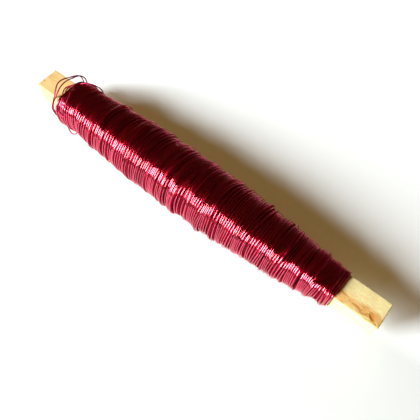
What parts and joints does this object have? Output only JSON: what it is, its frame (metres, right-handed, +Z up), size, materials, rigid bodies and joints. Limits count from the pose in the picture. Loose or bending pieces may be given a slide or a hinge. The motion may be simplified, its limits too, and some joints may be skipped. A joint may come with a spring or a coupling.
{
  "type": "reel of craft wire",
  "caption": "Spindle-shaped winding of lacquered red wire on a square wooden stick with both ends bare, and loose springy turns at the blunt end.",
  "frame": {"origin": "on the surface that the reel lies on, directly below the middle of the stick", "axes": "+X along the stick towards its longer bare end, +Z up out of the surface, +Y across the stick"},
  "size_m": [0.16, 0.0238, 0.0237],
  "materials": {
    "stick_wood": "plain sawn pale wood, matt",
    "lacquered_wire": "glossy transparent burgundy lacquer on bright copper wire"
  },
  "bodies": {
    "root": {"wooden_stick": "stick_wood", "winding_core": "lacquered_wire", "outer_turns": "lacquered_wire", "loose_end_wire": "lacquered_wire"}
  },
  "joints": []
}
